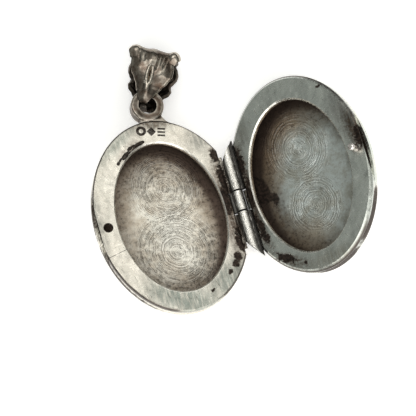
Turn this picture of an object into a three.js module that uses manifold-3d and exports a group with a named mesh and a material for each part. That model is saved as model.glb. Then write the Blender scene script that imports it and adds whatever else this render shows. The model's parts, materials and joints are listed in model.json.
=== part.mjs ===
// Hinged oval locket, opened flat on its two domes, with a folded leaf bail on its hanging loop.
// Millimetres. Y runs along the hinge towards the bail, X across both halves, Z up from the table.
import * as THREE from 'three';
import { mergeVertices } from 'three/addons/utils/BufferGeometryUtils.js';
import Module from 'manifold-3d';

// ---- case halves, in each half's own frame: u away from the hinge, v along it, w up from its rim face
const RIM_LONG = 15.0; // half length of the oval, along the hinge
const RIM_WIDE = 11.35; // half width of the oval
const OVAL_U = 10.65; // hinge axis to the oval's centre
const FLAT_U = 1.2; // flat side of the oval, beside the barrel
const HALF_TILT = 21; // degrees each half is raised from level
const RIM_DROP = 0.1; // rim face below the hinge axis
const RIM_THICK = 0.75;
const RIM_BEVEL = 0.08;
const OPENING_LONG = 11.65;
const OPENING_WIDE = 8.1;
const OPENING_V = -0.25;
const SEAM = 0.05; // solder line between soldered pieces
const SHELL_THICK = 0.45;
const WALL_DEPTH = 1.95; // straight side wall below the hinge axis
const DOME_DEPTH = 3.9; // pole of the dome below the hinge axis
const DOME_STEPS = 8;
const ROUND_STEPS = 64; // around the oval
const NICK_DEPTH = 0.4; // thumbnail nick in the outer edge
const NICK_TILT = 20;
const NICK_DROP = 1.1;

// ---- hinge
const BARREL_R = 0.85;
const BARREL_BORE_R = 0.46;
const PIN_R = 0.4;
const KNUCKLE_GAP = 0.1;
const KNUCKLE_TOP_V = 1.4; // joint between the upper and the middle knuckle
const KNUCKLE_LOW_V = -1.84; // joint between the middle and the lower knuckle
const BARREL_END_V = 7.5; // where the slanted ends cross the hinge axis
const BARREL_END_SLANT = 54; // degrees
const WEB_TOP = -0.14;
const WEB_LOW = -0.76;

// ---- catch
const CATCH_U = 20.25;
const CATCH_HOLE_R = 0.74;
const STUD_SHANK_R = 0.38;
const STUD_HOLE_R = 0.43;
const STUD_R = 0.56;
const STUD_HEIGHT = 1.5; // above the hinge axis plane

// ---- hanging loop
const LOOP_U = 9.45;
const LOOP_V = 17.5;
const LOOP_R = 2.4;
const LOOP_HOLE_R = 1.35;
const LOOP_TOP = -0.15;
const LOOP_LOW = -2.2;
const LOOP_FOOT_HALF = 2.1;

// ---- bail, in its own frame: p across, q up from the hook, h through it from leaf to strap
const BAIL_LEAN = 28; // degrees towards the hinge
const BAIL_TWIST = -9; // degrees about its own length
const HOOK_SHIFT = 0.5; // hook off the loop's centre, away from the hinge
const BAIL_WIDTH = 10;
const STRAP_OUTLINE = [[0.4, -0.6], [0.5, 0.9], [1.0, 1.5], [1.45, 2.4], [1.75, 3.2], [2.5, 4.0],
  [3.0, 4.9], [3.1, 5.6], [3.0, 6.3], [3.3, 7.0], [3.75, 7.7], [3.7, 8.4], [3.2, 8.9], [2.6, 9.3]];
const LEAF_OUTLINE = [[0.4, -0.6], [0.5, 0.9], [1.4, 1.7], [2.5, 2.6], [2.95, 3.5], [2.75, 4.4],
  [3.4, 5.0], [3.65, 6.1], [3.3, 7.0], [3.5, 7.8], [3.2, 8.7], [2.6, 9.3]];
const BAIL_OUTSIDE = [[-0.15, 0], [0.0, 0.9], [0.45, 1.6], [1.3, 2.05], [2.6, 2.3], [4.5, 2.75],
  [6.5, 3.0], [8.0, 2.6], [8.9, 1.5], [9.1, 0.2], [8.9, -1.2], [8.1, -2.4], [6.6, -3.1],
  [4.6, -3.2], [2.6, -2.75], [1.2, -2.2], [0.4, -1.6], [0.0, -0.9]];
const BAIL_INSIDE = [[0.47, 0], [0.6, 0.8], [0.95, 1.28], [1.6, 1.5], [2.8, 1.72], [4.5, 2.12],
  [6.4, 2.38], [7.6, 2.1], [8.3, 1.2], [8.48, 0.2], [8.3, -0.95], [7.7, -1.95], [6.45, -2.5],
  [4.6, -2.6], [2.8, -2.15], [1.5, -1.65], [0.95, -1.32], [0.6, -0.85]];

const wasm = await Module();
wasm.setup();
const rad = THREE.MathUtils.degToRad;

/** Closed three.js geometry as a manifold solid. */
function solid(geometry) {
  const bare = geometry.index ? geometry.toNonIndexed() : geometry.clone();
  bare.deleteAttribute('normal');
  bare.deleteAttribute('uv');
  const merged = mergeVertices(bare, 1e-5);
  return new wasm.Manifold(new wasm.Mesh({
    numProp: 3,
    vertProperties: new Float32Array(merged.attributes.position.array),
    triVerts: new Uint32Array(merged.index.array),
  }));
}

/** Manifold solid as a named mesh with its own material. */
function part(name, body, finish) {
  const found = body.getMesh();
  const geometry = new THREE.BufferGeometry();
  geometry.setAttribute('position', new THREE.BufferAttribute(found.vertProperties, 3));
  geometry.setIndex(new THREE.BufferAttribute(found.triVerts, 1));
  const mesh = new THREE.Mesh(geometry, new THREE.MeshStandardMaterial({ metalness: 1, ...finish }));
  mesh.name = name;
  return mesh;
}

/** Box between two corners. */
function block(low, high) {
  const size = high.map((value, k) => value - low[k]);
  const middle = high.map((value, k) => (value + low[k]) / 2);
  return solid(new THREE.BoxGeometry(...size).translate(...middle));
}

/** Round bar along Y between two stations. */
function rod(radius, from, to, sides = 32) {
  return solid(new THREE.CylinderGeometry(radius, radius, to - from, sides).translate(0, (from + to) / 2, 0));
}

/** Solid of revolution about w, from a profile that starts and ends on the axis. */
function turned(profile, sides) {
  const points = profile.map(([r, w]) => new THREE.Vector2(r, w));
  return new THREE.LatheGeometry(points, sides).rotateX(Math.PI / 2);
}

/** Slab of an outline, with optional holes, standing from low to high along w. */
function slab(outline, low, high, options = {}) {
  const geometry = new THREE.ExtrudeGeometry(outline, {
    depth: high - low, bevelEnabled: false, curveSegments: ROUND_STEPS, ...options,
  });
  return geometry.translate(0, 0, low);
}

/** Profile of one dome, as fractions of the oval across and heights along w. */
function domeProfile(shrink, lift) {
  const reach = 1 - shrink;
  const pole = -DOME_DEPTH + lift;
  const profile = [[0, RIM_DROP], [reach, RIM_DROP], [reach, -WALL_DEPTH]];
  for (let k = 1; k <= DOME_STEPS; k += 1) {
    const t = (k / DOME_STEPS) * (Math.PI / 2);
    profile.push([reach * Math.cos(t) ** 0.62, -WALL_DEPTH + (pole + WALL_DEPTH) * Math.sin(t) ** 1.1]);
  }
  profile[profile.length - 1][0] = 0;
  return profile.reverse();
}

/** Oval bowl with a flat hinge side, filled, before it is hollowed. */
function bowl(side, shrink, lift, flat) {
  const shape = turned(domeProfile(shrink, lift), ROUND_STEPS)
    .scale(RIM_WIDE, RIM_LONG, 1).translate(side * OVAL_U, 0, 0);
  const cut = side > 0
    ? block([-5, -20, -9], [flat, 20, 9])
    : block([-flat, -20, -9], [5, 20, 9]);
  return solid(shape).subtract(cut);
}

/** Slanted cut that leaves the thumbnail nick in a half's outer edge. */
function nick(side) {
  const reach = OVAL_U + RIM_WIDE - NICK_DEPTH;
  const shape = new THREE.BoxGeometry(4, 30, 8).translate(side * 2, 0, 0)
    .rotateY(side * rad(NICK_TILT)).translate(side * reach, 0, -RIM_DROP);
  return solid(shape).intersect(block([-40, -30, -NICK_DROP - RIM_DROP], [40, 30, 5]));
}

/** Dished shell of one half, open under the rim plate. */
function shell(side) {
  const top = -RIM_DROP - RIM_THICK - SEAM;
  return bowl(side, 0, 0, FLAT_U)
    .subtract(bowl(side, SHELL_THICK / RIM_WIDE, SHELL_THICK, FLAT_U + SHELL_THICK))
    .subtract(block([-40, -30, top], [40, 30, 9]))
    .subtract(nick(side));
}

/** Flat oval rim plate of one half with its large opening and one small catch hole. */
function rimPlate(side, holeR) {
  const corner = Math.acos((FLAT_U - OVAL_U + RIM_BEVEL) / (RIM_WIDE - RIM_BEVEL));
  const start = side > 0 ? -corner : Math.PI - corner;
  const outline = new THREE.Shape();
  outline.absellipse(side * OVAL_U, 0, RIM_WIDE - RIM_BEVEL, RIM_LONG - RIM_BEVEL,
    start, start + 2 * corner, false, 0);
  const opening = new THREE.Path();
  opening.absellipse(side * (OVAL_U - 0.05), OPENING_V, OPENING_WIDE + RIM_BEVEL,
    OPENING_LONG + RIM_BEVEL, 0, 2 * Math.PI, true, 0);
  outline.holes.push(opening);
  const low = -RIM_DROP - RIM_THICK;
  const plate = slab(outline, low + RIM_BEVEL, -RIM_DROP - RIM_BEVEL, {
    bevelEnabled: true, bevelThickness: RIM_BEVEL, bevelSize: RIM_BEVEL, bevelSegments: 1,
  });
  const hole = new THREE.CylinderGeometry(holeR, holeR, 4, 24).rotateX(Math.PI / 2)
    .translate(side * CATCH_U, 0, 0);
  return solid(plate).subtract(solid(hole)).subtract(nick(side));
}

/** Slanted cutter that trims the barrel's upper (+1) or lower (-1) end. */
function endCut(end, inset) {
  const shape = new THREE.BoxGeometry(12, 8, 12).translate(0, end * 4, 0)
    .rotateZ(end * rad(BARREL_END_SLANT)).translate(0, end * (BARREL_END_V - inset), 0);
  return solid(shape);
}

/** One knuckle of the barrel with the web that joins it to its half. */
function knuckle(side, from, to) {
  const web = side > 0
    ? block([0.2, from, WEB_LOW], [FLAT_U - SEAM, to, WEB_TOP])
    : block([-FLAT_U + SEAM, from, WEB_LOW], [-0.2, to, WEB_TOP]);
  return rod(BARREL_R, from, to).add(tilted(web, side))
    .subtract(rod(BARREL_BORE_R, -20, 20, 24));
}

/** Turns a body of one half about the hinge axis to its place on the table. */
function tilted(body, side) {
  return body.rotate([0, -side * HALF_TILT, 0]);
}

/** Domed catch stud with its riveted shank. */
function catchStud() {
  const low = -RIM_DROP - RIM_THICK - 0.1;
  const profile = [[0, low], [STUD_SHANK_R, low], [STUD_SHANK_R, SEAM - RIM_DROP],
    [STUD_R, SEAM - RIM_DROP], [STUD_R - 0.06, 0.35], [STUD_R, STUD_HEIGHT - 0.45],
    [STUD_R * 0.9, STUD_HEIGHT - 0.22], [STUD_R * 0.6, STUD_HEIGHT - 0.07], [0, STUD_HEIGHT]];
  return solid(turned(profile, 28).translate(CATCH_U, 0, 0));
}

/** Thick round hanging loop with the flared foot that is soldered to the rim's end. */
function hangingLoop() {
  const outline = new THREE.Shape();
  outline.absellipse(0, 0, LOOP_R, LOOP_R, 0, 2 * Math.PI, false, 0);
  const ring = solid(slab(outline, LOOP_LOW, LOOP_TOP, {
    bevelEnabled: true, bevelThickness: 0.2, bevelSize: 0.2, bevelOffset: -0.2, bevelSegments: 2,
    curveSegments: 40,
  }));
  const foot = new THREE.Shape();
  foot.moveTo(-LOOP_FOOT_HALF - 0.5, -LOOP_R - 1.2);
  foot.lineTo(LOOP_FOOT_HALF + 0.5, -LOOP_R - 1.2);
  foot.lineTo(LOOP_FOOT_HALF, -LOOP_R + 0.25);
  foot.quadraticCurveTo(LOOP_FOOT_HALF - 0.35, -LOOP_R + 0.75, LOOP_R * 0.8, -LOOP_R * 0.6);
  foot.lineTo(-LOOP_R * 0.8, -LOOP_R * 0.6);
  foot.quadraticCurveTo(-LOOP_FOOT_HALF + 0.35, -LOOP_R + 0.75, -LOOP_FOOT_HALF, -LOOP_R + 0.25);
  const flare = solid(slab(foot, LOOP_LOW + 0.15, LOOP_TOP - 0.15, { curveSegments: 6 }));
  const hole = solid(new THREE.CylinderGeometry(LOOP_HOLE_R, LOOP_HOLE_R, 8, 40).rotateX(Math.PI / 2));
  const rimEnd = new THREE.Shape();
  rimEnd.absellipse(0, 0, RIM_WIDE + SEAM, RIM_LONG + SEAM, 0, 2 * Math.PI, false, 0);
  const rim = solid(slab(rimEnd, -9, 9)).translate([LOOP_U - OVAL_U, -LOOP_V, 0]);
  return ring.add(flare).subtract(hole).subtract(rim).translate([-LOOP_U, LOOP_V, 0]);
}

/** Smooth closed curve through clockwise points, as an anticlockwise outline. */
function smoothLoop(points, Kind) {
  const curve = new THREE.CatmullRomCurve3(points.map(([a, b]) => new THREE.Vector3(a, b, 0)), true);
  const found = curve.getPoints(points.length * 2).slice(0, -1).reverse();
  return new Kind(found.map(({ x, y }) => new THREE.Vector2(x, y)));
}

/** Mirror-symmetric outline from its right-hand half. */
function mirroredOutline(half) {
  const right = new THREE.SplineCurve(half.map(([p, q]) => new THREE.Vector2(p, q))).getPoints(26);
  const left = right.map(({ x, y }) => new THREE.Vector2(-x, y)).reverse();
  return new THREE.Shape([...right, ...left]);
}

/** Front or back of the bail: the folded band cut to its outline on one side of the fold. */
function bailSide(band, half, front) {
  const outline = solid(slab(mirroredOutline(half), -6, 6));
  const keep = front ? block([-9, -3, -6], [9, 12, -SEAM / 2]) : block([-9, -3, SEAM / 2], [9, 12, 6]);
  return band.intersect(outline).intersect(keep);
}

/** Puts a bail piece on the hanging loop. */
function onLoop(body) {
  return body.rotate([0, BAIL_TWIST, 0])
    .translate([-HOOK_SHIFT, 0, 0])
    .rotate([0, 0, -BAIL_LEAN])
    .translate([-LOOP_U, LOOP_V, (LOOP_TOP + LOOP_LOW) / 2]);
}

const bailLoop = smoothLoop(BAIL_OUTSIDE, THREE.Shape);
bailLoop.holes.push(smoothLoop(BAIL_INSIDE, THREE.Path));
const bailBand = solid(slab(bailLoop, -BAIL_WIDTH / 2, BAIL_WIDTH / 2)
  .applyMatrix4(new THREE.Matrix4().makeBasis(
    new THREE.Vector3(0, 1, 0), new THREE.Vector3(0, 0, 1), new THREE.Vector3(1, 0, 0))));

const gap = KNUCKLE_GAP / 2;
const endCuts = [endCut(1, 0), endCut(-1, 0)];
const pinCuts = [endCut(1, 0.08), endCut(-1, 0.08)];
const silver = { color: 0xd8d2c4, roughness: 0.32 };
const greySilver = { color: 0xa4aaa3, roughness: 0.25 };
const darkSilver = { color: 0x6e6459, roughness: 0.42 };

const parts = [
  part('base_shell', tilted(shell(-1), -1), silver),
  part('base_rim_plate', tilted(rimPlate(-1, CATCH_HOLE_R), -1), silver),
  part('hanging_loop', tilted(hangingLoop(), -1), darkSilver),
  part('hinge_knuckle_middle', knuckle(-1, KNUCKLE_LOW_V + gap, KNUCKLE_TOP_V - gap), silver),
  part('cover_shell', tilted(shell(1), 1), greySilver),
  part('cover_rim_plate', tilted(rimPlate(1, STUD_HOLE_R), 1), greySilver),
  part('catch_stud', tilted(catchStud(), 1), silver),
  part('hinge_knuckle_upper', knuckle(1, KNUCKLE_TOP_V + gap, 12).subtract(endCuts[0]), silver),
  part('hinge_knuckle_lower', knuckle(1, -12, KNUCKLE_LOW_V - gap).subtract(endCuts[1]), silver),
  part('hinge_pin', rod(PIN_R, -12, 12, 24).subtract(pinCuts[0]).subtract(pinCuts[1]), silver),
  part('bail_leaf', tilted(onLoop(bailSide(bailBand, LEAF_OUTLINE, true)), -1), darkSilver),
  part('bail_strap', tilted(onLoop(bailSide(bailBand, STRAP_OUTLINE, false)), -1), darkSilver),
];

const locket = new THREE.Group();
locket.name = 'locket';
parts.forEach((piece) => locket.add(piece));

// stand the domes on the table and centre the whole on it
const extent = new THREE.Box3().setFromObject(locket);
const middle = extent.getCenter(new THREE.Vector3());
parts.forEach((piece) => piece.geometry.translate(-middle.x, -middle.y, -extent.min.z));

export default locket;
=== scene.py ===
"""Looks of a hinged oval silver locket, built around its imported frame."""

import functools
import json
import logging
import math
from collections.abc import Callable, Sequence
from dataclasses import dataclass, field
from enum import Enum

import bmesh
import bpy
import numpy as np
from mathutils import Euler, Matrix, Vector, noise


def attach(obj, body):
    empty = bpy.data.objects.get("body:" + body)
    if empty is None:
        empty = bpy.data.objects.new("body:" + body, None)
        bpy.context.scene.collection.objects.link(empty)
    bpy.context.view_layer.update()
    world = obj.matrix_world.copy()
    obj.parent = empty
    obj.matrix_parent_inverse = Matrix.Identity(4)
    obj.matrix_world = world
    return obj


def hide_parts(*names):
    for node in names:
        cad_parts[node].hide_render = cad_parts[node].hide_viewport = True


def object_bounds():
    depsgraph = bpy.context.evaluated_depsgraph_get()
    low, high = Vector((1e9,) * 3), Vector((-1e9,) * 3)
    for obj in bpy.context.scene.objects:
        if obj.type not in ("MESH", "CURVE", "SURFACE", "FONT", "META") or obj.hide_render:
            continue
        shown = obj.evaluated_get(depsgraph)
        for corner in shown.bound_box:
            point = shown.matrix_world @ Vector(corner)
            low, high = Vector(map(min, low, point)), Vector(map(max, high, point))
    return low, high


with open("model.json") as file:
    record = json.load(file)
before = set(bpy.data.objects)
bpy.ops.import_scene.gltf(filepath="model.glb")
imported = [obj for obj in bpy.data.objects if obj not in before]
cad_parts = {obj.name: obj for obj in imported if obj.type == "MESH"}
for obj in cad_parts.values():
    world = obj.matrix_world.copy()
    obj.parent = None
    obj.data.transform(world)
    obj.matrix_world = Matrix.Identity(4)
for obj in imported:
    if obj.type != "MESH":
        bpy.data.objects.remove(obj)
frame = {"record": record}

Socket = bpy.types.NodeSocket
Thing = bpy.types.Object
Mesh = bmesh.types.BMesh
Colour = tuple[float, float, float]
Outline = tuple[tuple[float, float], ...]

LOG = logging.getLogger("locket")
CAD_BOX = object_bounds()
MM = 0.001
THROUGH = 400.0  # reach of a flat mask through the sheet
RIM_HALF = (11.35, 15.0)
RIM_MIDDLE = 10.65
OPENING_HALF = (8.1, 11.65)
OPENING_Y = -0.25
KNUCKLE_JOINTS = (1.4, -1.84)
SCRATCH_TURN = 0.4


class Side(Enum):
    """Which half of the case, with the sign of X that it lies on."""

    BASE = -1
    COVER = 1


class Body(Enum):
    """Rigid bodies of the frame."""

    BASE = "base_half"
    COVER = "cover_half"
    BAIL = "bail"


class Slot(Enum):
    """Material slots of the record."""

    WORN = "worn_silver"
    GREY = "grey_silver"
    OXIDISED = "oxidised_silver"


def joint(name: str) -> dict:
    """Gives a joint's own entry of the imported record."""
    joints = frame["record"]["behaviour"]["joints"]
    return next(entry for entry in joints if entry["name"] == name)


HINGE = Vector(joint("cover_hinge")["pos_m"])
LOOP = Vector(joint("bail_swing")["pos_m"])
LOOP_AXIS = Vector(joint("bail_swing")["axis"]).normalized()
TILT = math.atan2(LOOP_AXIS.x, LOOP_AXIS.z)


def half_matrix(side: Side) -> Matrix:
    """Gives the place of one half: from its own millimetres to the frame."""
    turn = Matrix.Rotation(-side.value * TILT, 4, "Y")
    return Matrix.Translation(HINGE) @ turn @ Matrix.Scale(MM, 4)


# ---------------------------------------------------------------- mesh tools


def shape_object(bm: Mesh, name: str) -> Thing:
    """Puts a bmesh in a new object and frees it.

    Args:
        bm: the finished bmesh.
        name: the object's name.

    Returns:
        The new object, linked to the scene.
    """
    mesh = bpy.data.meshes.new(name)
    bm.to_mesh(mesh)
    bm.free()
    made = bpy.data.objects.new(name, mesh)
    bpy.context.scene.collection.objects.link(made)
    return made


def drop(thing: Thing) -> None:
    """Removes a working object along with its mesh."""
    bpy.data.meshes.remove(thing.data)


def settle(thing: Thing) -> Thing:
    """Applies an object's modifiers to its mesh.

    Args:
        thing: the object.

    Returns:
        The same object with plain geometry.
    """
    graph = bpy.context.evaluated_depsgraph_get()
    made = bpy.data.meshes.new_from_object(thing.evaluated_get(graph))
    old = thing.data
    thing.modifiers.clear()
    thing.data = made
    made.name = old.name
    bpy.data.meshes.remove(old)
    return thing


def change(thing: Thing, kind: str, **settings: object) -> None:
    """Runs one modifier on an object and applies it.

    Args:
        thing: the object.
        kind: the modifier's type.
        settings: its properties.
    """
    step = thing.modifiers.new(kind.lower(), kind)
    for key, value in settings.items():
        setattr(step, key, value)
    settle(thing)


def carve(thing: Thing, others: Sequence[Thing], how: str = "DIFFERENCE") -> None:
    """Cuts closed objects out of one, or joins them to it, and removes them.

    Args:
        thing: the object that is worked on.
        others: the closed objects.
        how: the boolean operation.
    """
    for other in others:
        change(thing, "BOOLEAN", operation=how, solver="EXACT", object=other)
        drop(other)


def round_edges(thing: Thing, width: float, segments: int = 3, angle: float = 32.0) -> None:
    """Rounds the edges of an object that are sharper than an angle in degrees."""
    change(thing, "BEVEL", width=width, segments=segments, limit_method="ANGLE", angle_limit=math.radians(angle),
           use_clamp_overlap=True)


def fuse(thing: Thing, voxel: float, passes: int) -> None:
    """Melts an object's islands into one skin of a voxel size, then smooths it in some passes."""
    change(thing, "REMESH", mode="VOXEL", voxel_size=voxel)
    change(thing, "SMOOTH", iterations=passes, factor=0.5)


def mark_relief(thing: Thing, passes: int, reach: float) -> None:
    """Stores how far each point stands out of, or lies below, its smoothed surroundings.

    Args:
        thing: the object, which gets the point value "relief" around 0.5.
        passes: how widely the surroundings are averaged.
        reach: height difference that gives the full range.
    """
    mesh = thing.data
    count = len(mesh.vertices)
    at = np.empty(count * 3)
    mesh.vertices.foreach_get("co", at)
    normal = np.empty(count * 3)
    mesh.vertices.foreach_get("normal", normal)
    ends = np.empty(len(mesh.edges) * 2, dtype=np.int64)
    mesh.edges.foreach_get("vertices", ends)
    at, normal, ends = at.reshape(-1, 3), normal.reshape(-1, 3), ends.reshape(-1, 2)
    links = np.maximum(np.bincount(ends.ravel(), minlength=count), 1)[:, None]
    mean = at.copy()
    for _ in range(passes):
        total = np.zeros_like(mean)
        for axis in range(3):
            total[:, axis] += np.bincount(ends[:, 0], mean[ends[:, 1], axis], count)
            total[:, axis] += np.bincount(ends[:, 1], mean[ends[:, 0], axis], count)
        mean = 0.5 * mean + 0.5 * total / links
    height = ((at - mean) * normal).sum(axis=1)
    layer = mesh.attributes.new("relief", "FLOAT", "POINT")
    layer.data.foreach_set("value", np.clip(0.5 + 0.5 * height / reach, 0.0, 1.0))


def clean(bm: Mesh) -> None:
    """Merges doubles and points all faces outwards."""
    bmesh.ops.remove_doubles(bm, verts=bm.verts, dist=1e-5)
    bmesh.ops.recalc_face_normals(bm, faces=bm.faces)


def slice_off(bm: Mesh, point: Sequence[float], normal: Sequence[float]) -> None:
    """Cuts away what lies beyond a plane and closes the cut.

    Args:
        bm: the closed bmesh.
        point: a point of the plane.
        normal: its direction, towards what goes.
    """
    bmesh.ops.bisect_plane(bm, geom=bm.verts[:] + bm.edges[:] + bm.faces[:], plane_co=point, plane_no=normal,
                           clear_outer=True)
    bmesh.ops.holes_fill(bm, edges=bm.edges[:], sides=0)


def rod(radius: float, depth: float, matrix: Matrix, segments: int = 48) -> Mesh:
    """Makes a round bar along its own Z, then places it.

    Args:
        radius: radius of the bar.
        depth: length of the bar.
        matrix: where it goes.
        segments: faces around it.

    Returns:
        The bar's bmesh.
    """
    bm = bmesh.new()
    bmesh.ops.create_cone(
        bm, cap_ends=True, segments=segments, radius1=radius, radius2=radius,
        depth=depth, matrix=matrix,
    )
    return bm


def block(size: Sequence[float], matrix: Matrix) -> Mesh:
    """Makes a box around its own centre, then places it.

    Args:
        size: length of its three sides.
        matrix: where it goes.

    Returns:
        The box's bmesh.
    """
    bm = bmesh.new()
    bmesh.ops.create_cube(bm, size=1.0, matrix=matrix @ Matrix.Diagonal((*size, 1.0)))
    return bm


def turned(profile: Sequence[tuple[float, float]], steps: int) -> Mesh:
    """Spins a profile of radius and height about Z.

    Args:
        profile: points from one end to the other.
        steps: faces around it.

    Returns:
        The spun bmesh, with its normals pointing out.
    """
    bm = bmesh.new()
    points = [bm.verts.new((radius, 0.0, height)) for radius, height in profile]
    edges = [bm.edges.new(pair) for pair in zip(points, points[1:])]
    bmesh.ops.spin(
        bm, geom=points + edges, axis=(0, 0, 1), cent=(0, 0, 0), steps=steps,
        angle=math.tau, use_merge=True, use_duplicate=False,
    )
    clean(bm)
    return bm


def slab(outline: Mesh, low: float, high: float) -> Mesh:
    """Gives a flat face its thickness along Z.

    Args:
        outline: one flat face at height 0.
        low: lower height.
        high: upper height.

    Returns:
        The same bmesh as a closed slab.
    """
    bmesh.ops.translate(outline, verts=outline.verts, vec=(0, 0, low))
    grown = bmesh.ops.extrude_face_region(outline, geom=outline.faces[:])
    raised = [v for v in grown["geom"] if isinstance(v, bmesh.types.BMVert)]
    bmesh.ops.translate(outline, verts=raised, vec=(0, 0, high - low))
    clean(outline)
    return outline


def oval(half_x: float, half_y: float, centre: Sequence[float], segments: int = 256) -> Mesh:
    """Makes a flat oval face.

    Args:
        half_x: half its width along X.
        half_y: half its length along Y.
        centre: its middle.
        segments: edges around it.

    Returns:
        The face's bmesh.
    """
    bm = bmesh.new()
    place = Matrix.Translation(Vector((*centre, 0.0))) @ Matrix.Diagonal((half_x, half_y, 1, 1))
    bmesh.ops.create_circle(bm, cap_ends=True, segments=segments, radius=1.0, matrix=place)
    return bm


def along_y(station: float) -> Matrix:
    """Turns a Z bar to lie along Y, with its middle at a station."""
    return Matrix.Translation((0, station, 0)) @ Matrix.Rotation(-math.pi / 2, 4, "X")


# ---------------------------------------------------------------- node tools


class Nodes:
    """Builds one material's node tree in a short form."""

    def __init__(self, name: str) -> None:
        """Starts a material with only its shader.

        Args:
            name: the material's name.
        """
        self.material = bpy.data.materials.new(name)
        self.material.use_nodes = True
        self.tree = self.material.node_tree
        self.shader = self.tree.nodes["Principled BSDF"]

    def add(self, kind: str, inputs: dict | None = None, **settings: object) -> bpy.types.Node:
        """Adds a node.

        Args:
            kind: its type.
            inputs: what goes into its sockets, by their names or places.
            settings: its properties.

        Returns:
            The node.
        """
        node = self.tree.nodes.new(kind)
        for key, value in settings.items():
            setattr(node, key, value)
        for key, value in (inputs or {}).items():
            self.feed(node.inputs[key], value)
        return node

    def feed(self, socket: Socket, value: object) -> None:
        """Links an output to a socket, or sets the socket's own value.

        Args:
            socket: the input.
            value: an output, a number or a tuple.
        """
        if isinstance(value, Socket):
            self.tree.links.new(value, socket)
        else:
            socket.default_value = value

    def local(self, side: Side) -> Socket:
        """Gives a half's own millimetres, with its rim plane as the XY plane."""
        return self.own(HINGE, -side.value * TILT)

    def own(self, origin: Vector, turn: float) -> Socket:
        """Gives millimetres around an origin of the frame, turned about Y."""
        return self.placed(self.add("ShaderNodeTexCoord").outputs["Object"], origin, (0, turn, 0), (MM, MM, MM))

    def placed(self, vector: object, centre: Sequence[float], turn: Sequence[float],
               size: Sequence[float]) -> Socket:
        """Gives coordinates from a patch's middle, turned in radians, in units of its half sizes."""
        inputs = {"Vector": vector, "Location": centre, "Rotation": turn, "Scale": size}
        return self.add("ShaderNodeMapping", inputs, vector_type="TEXTURE").outputs[0]

    def away(self, vector: object, centre: Sequence[float], size: Sequence[float], turn: float = 0.0) -> Socket:
        """Gives the distance from a centre, which is 1 on the edge of an oval.

        Args:
            vector: coordinates.
            centre: middle of the oval; it reaches through the sheet where this has no height.
            size: its half sizes.
            turn: turn about Z, in radians.

        Returns:
            The distance output.
        """
        place = (*centre, 0.0) if len(centre) == 2 else centre
        reach = (*size, THROUGH) if len(size) == 2 else size
        inside = self.placed(vector, place, (0, 0, turn), reach)
        return self.add("ShaderNodeVectorMath", {0: inside}, operation="LENGTH").outputs["Value"]

    def calc(self, operation: str, a: object, b: object = 0.0) -> Socket:
        """Joins two values with a maths operation."""
        return self.add("ShaderNodeMath", {0: a, 1: b}, operation=operation).outputs[0]

    def times(self, a: object, b: object) -> Socket:
        """Multiplies two values."""
        return self.calc("MULTIPLY", a, b)

    def plus(self, a: object, b: object) -> Socket:
        """Adds two values."""
        return self.calc("ADD", a, b)

    def shift(self, vector: object, offset: object, amount: float) -> Socket:
        """Moves coordinates by a colour's worth of wobble.

        Args:
            vector: the coordinates.
            offset: the colour, around 0.5.
            amount: how far a full channel moves them.

        Returns:
            The moved coordinates.
        """
        centred = self.add("ShaderNodeVectorMath", {0: offset, 1: (0.5, 0.5, 0.5)}, operation="SUBTRACT")
        inputs = {0: centred.outputs[0], 1: (amount, amount, amount), 2: vector}
        return self.add("ShaderNodeVectorMath", inputs, operation="MULTIPLY_ADD").outputs[0]

    def noise(self, vector: object, scale: float, detail: float = 3.0, rough: float = 0.55,
              stretch: Sequence[float] = (1, 1, 1), turn: float = 0.0,
              colour: bool = False) -> Socket:
        """Adds a noise texture.

        Args:
            vector: coordinates.
            scale: how fine it is, per unit of them.
            detail: octaves.
            rough: strength of the finer octaves.
            stretch: size of its grains along each axis.
            turn: turn about Z, in radians.
            colour: gives three channels in place of one.

        Returns:
            The noise output.
        """
        if tuple(stretch) != (1, 1, 1) or turn:
            vector = self.placed(vector, (0, 0, 0), (0, 0, turn), stretch)
        inputs = {"Vector": vector, "Scale": scale, "Detail": detail, "Roughness": rough}
        return self.add("ShaderNodeTexNoise", inputs).outputs["Color" if colour else "Fac"]

    def span(self, value: object, low: float, high: float, to_low: float = 0.0,
             to_high: float = 1.0, smooth: bool = True) -> Socket:
        """Maps a value's range to another.

        Args:
            value: what is mapped.
            low: start of its range.
            high: end of its range.
            to_low: result at the start.
            to_high: result at the end.
            smooth: eases both ends.

        Returns:
            The mapped output.
        """
        kind = "SMOOTHSTEP" if smooth else "LINEAR"
        inputs = {"Value": value, "From Min": low, "From Max": high, "To Min": to_low, "To Max": to_high}
        return self.add("ShaderNodeMapRange", inputs, interpolation_type=kind).outputs[0]

    def patches(self, vector: object, stains: "Sequence[Stain]") -> Socket:
        """Gives 1 inside any of several oval patches, falling to 0 at their edges.

        Args:
            vector: the half's own coordinates.
            stains: the patches.

        Returns:
            The mask output.
        """
        return self.most([
            self.span(self.away(vector, s.centre, s.size, math.radians(s.turn)), 1.0 - s.soft, 1.0 + s.soft * 0.3,
                      1.0, 0.0)
            for s in stains])

    def most(self, values: Sequence[object]) -> Socket:
        """Gives the largest of several masks."""
        return functools.reduce(lambda a, b: self.calc("MAXIMUM", a, b), values)

    def mix(self, share: object, first: object, second: object) -> Socket:
        """Mixes two colours by a mask."""
        pair = [colour if isinstance(colour, Socket) else (*colour, 1.0) for colour in (first, second)]
        return self.add("ShaderNodeMix", {"Factor": share, 6: pair[0], 7: pair[1]}, data_type="RGBA").outputs[2]

    def bump(self, height: object, depth: float, normal: object = None) -> Socket:
        """Adds a bump of a real depth in metres, on top of another."""
        under = {} if normal is None else {"Normal": normal}
        return self.add("ShaderNodeBump", {"Strength": 1.0, "Distance": depth, "Height": height, **under}).outputs[0]

    def attribute(self, name: str) -> Socket:
        """Reads one of the piece's own values."""
        return self.add("ShaderNodeAttribute", attribute_name=name).outputs["Fac"]

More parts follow.
